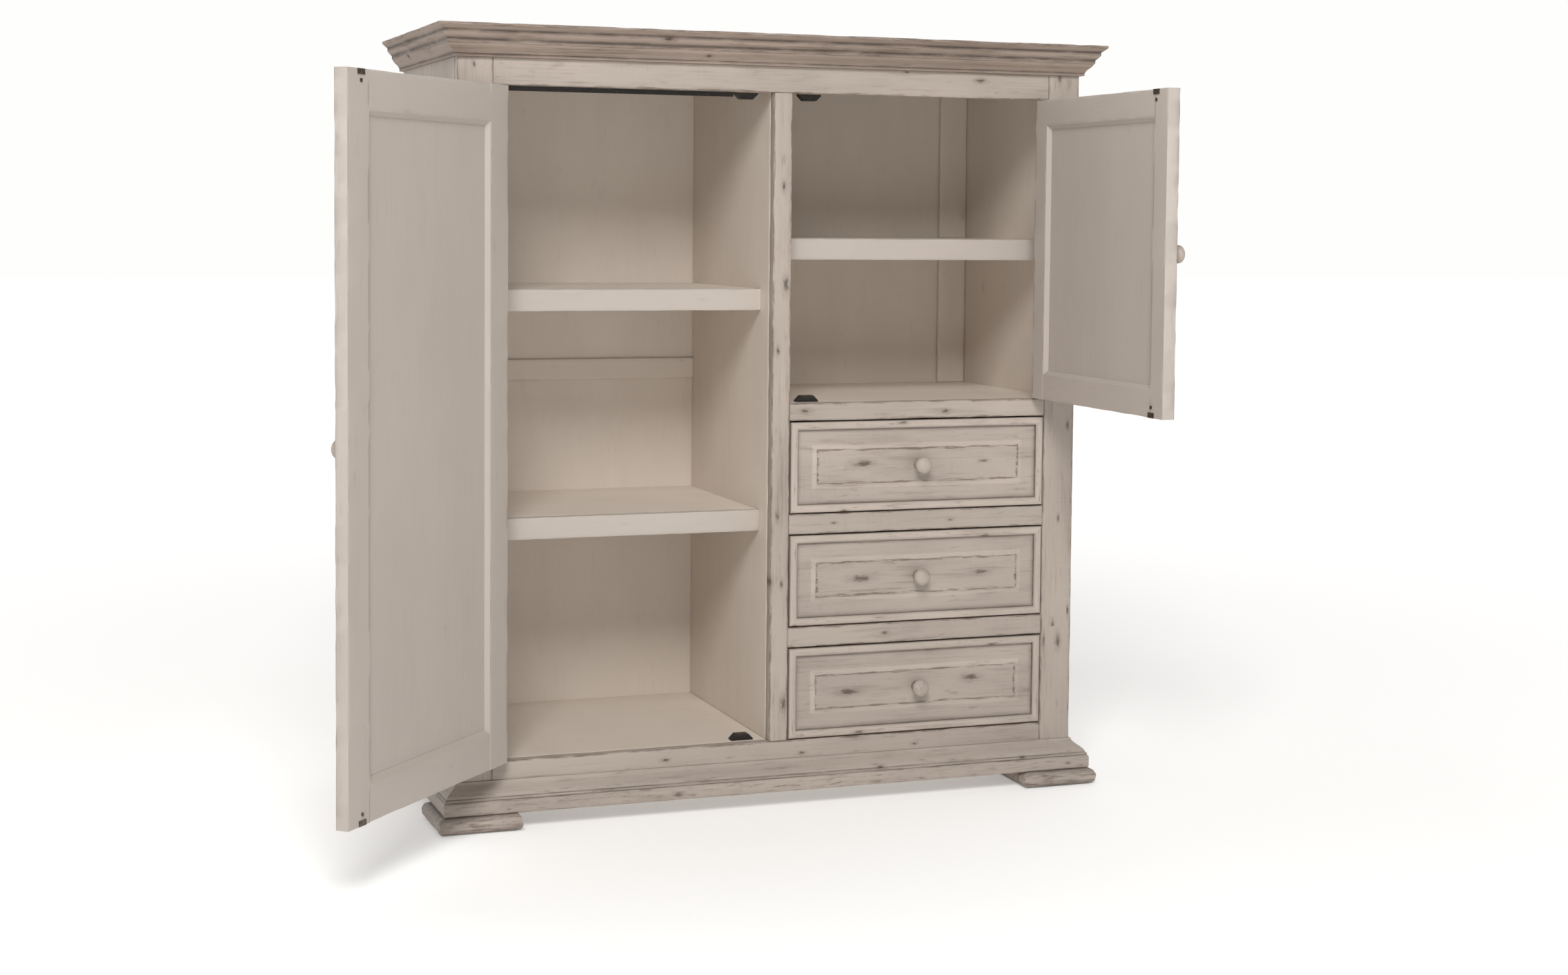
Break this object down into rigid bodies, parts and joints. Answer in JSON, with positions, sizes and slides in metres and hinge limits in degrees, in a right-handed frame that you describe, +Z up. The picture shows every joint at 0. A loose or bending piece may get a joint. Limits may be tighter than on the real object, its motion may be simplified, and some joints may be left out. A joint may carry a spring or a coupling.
{
  "type": "armoire",
  "caption": "Whitewashed pine armoire: tall shelved cupboard with an inset door beside a short cupboard over a stack of drawers, with a stepped crown and pad feet.",
  "frame": {"origin": "on the floor under the middle of the closed cabinet, whose crown and feet share one outline", "axes": "+Z up, +X to the right as seen from the front, +Y towards the back, so the doors and drawers face -Y"},
  "size_m": [1.6547, 1.1, 1.5431],
  "materials": {
    "whitewashed_pine": "rough-sawn pine under a rubbed white wash, worn brown at the edges and knots",
    "thin_washed_pine": "pine mouldings with a thin wash that leaves the brown grain showing",
    "painted_pine": "smooth painted boards, warm greige satin",
    "bare_pine": "bare planed pine",
    "black_steel": "black-brown lacquered steel",
    "hinge_steel": "antique brushed steel"
  },
  "bodies": {
    "cabinet": {"back_batten_level": "painted_pine", "back_batten_upright": "painted_pine", "back_board": "painted_pine", "base_ogee": "whitewashed_pine", "base_plinth": "whitewashed_pine", "bottom_board": "painted_pine", "bottom_rail": "whitewashed_pine", "catch_blocks": "bare_pine", "catches": "black_steel", "crown_front": "thin_washed_pine", "crown_sides": "thin_washed_pine", "cupboard_floor": "painted_pine", "cupboard_rail": "whitewashed_pine", "door_stop_strip": "black_steel", "drawer_rails": "whitewashed_pine", "drawer_runners": "bare_pine", "feet": "whitewashed_pine", "hinge_frame_leaves": "hinge_steel", "hinge_pins": "hinge_steel", "partition": "painted_pine", "shelf_cleats": "painted_pine", "shelf_left_lower": "painted_pine", "shelf_left_upper": "painted_pine", "shelf_lips": "painted_pine", "shelf_right": "painted_pine", "side_panel_left": "whitewashed_pine", "side_panel_right": "whitewashed_pine", "stile_centre": "whitewashed_pine", "stile_left": "whitewashed_pine", "stile_right": "whitewashed_pine", "top_board": "whitewashed_pine", "top_rail": "whitewashed_pine"},
    "door_left": {"door_left_bead": "whitewashed_pine", "door_left_frame": "whitewashed_pine", "door_left_hinge_leaves": "hinge_steel", "door_left_knob": "whitewashed_pine", "door_left_panel": "whitewashed_pine", "door_left_strikes": "black_steel"},
    "door_right": {"door_right_bead": "whitewashed_pine", "door_right_frame": "whitewashed_pine", "door_right_hinge_leaves": "hinge_steel", "door_right_knob": "whitewashed_pine", "door_right_panel": "whitewashed_pine", "door_right_strikes": "black_steel"},
    "drawer_low": {"drawer_low_bead": "whitewashed_pine", "drawer_low_bottom": "bare_pine", "drawer_low_box": "bare_pine", "drawer_low_front": "whitewashed_pine", "drawer_low_knob": "whitewashed_pine"},
    "drawer_middle": {"drawer_middle_bead": "whitewashed_pine", "drawer_middle_bottom": "bare_pine", "drawer_middle_box": "bare_pine", "drawer_middle_front": "whitewashed_pine", "drawer_middle_knob": "whitewashed_pine"},
    "drawer_top": {"drawer_top_bead": "whitewashed_pine", "drawer_top_bottom": "bare_pine", "drawer_top_box": "bare_pine", "drawer_top_front": "whitewashed_pine", "drawer_top_knob": "whitewashed_pine"}
  },
  "joints": [
    {"name": "door_left_hinge", "type": "hinge", "parent": "cabinet", "child": "door_left", "pos_m": [-0.58375, -0.25093, 0.78], "axis": [0, 0, 1], "range_deg": [-38, 132]},
    {"name": "door_right_hinge", "type": "hinge", "parent": "cabinet", "child": "door_right", "pos_m": [0.58375, -0.25093, 1.121], "axis": [0, 0, 1], "range_deg": [-89.5, 80.5]},
    {"name": "drawer_low_slide", "type": "slide", "parent": "cabinet", "child": "drawer_low", "axis": [0, -1, 0], "range_m": [0, 0.38]},
    {"name": "drawer_middle_slide", "type": "slide", "parent": "cabinet", "child": "drawer_middle", "axis": [0, -1, 0], "range_m": [0, 0.38]},
    {"name": "drawer_top_slide", "type": "slide", "parent": "cabinet", "child": "drawer_top", "axis": [0, -1, 0], "range_m": [0, 0.38]}
  ]
}
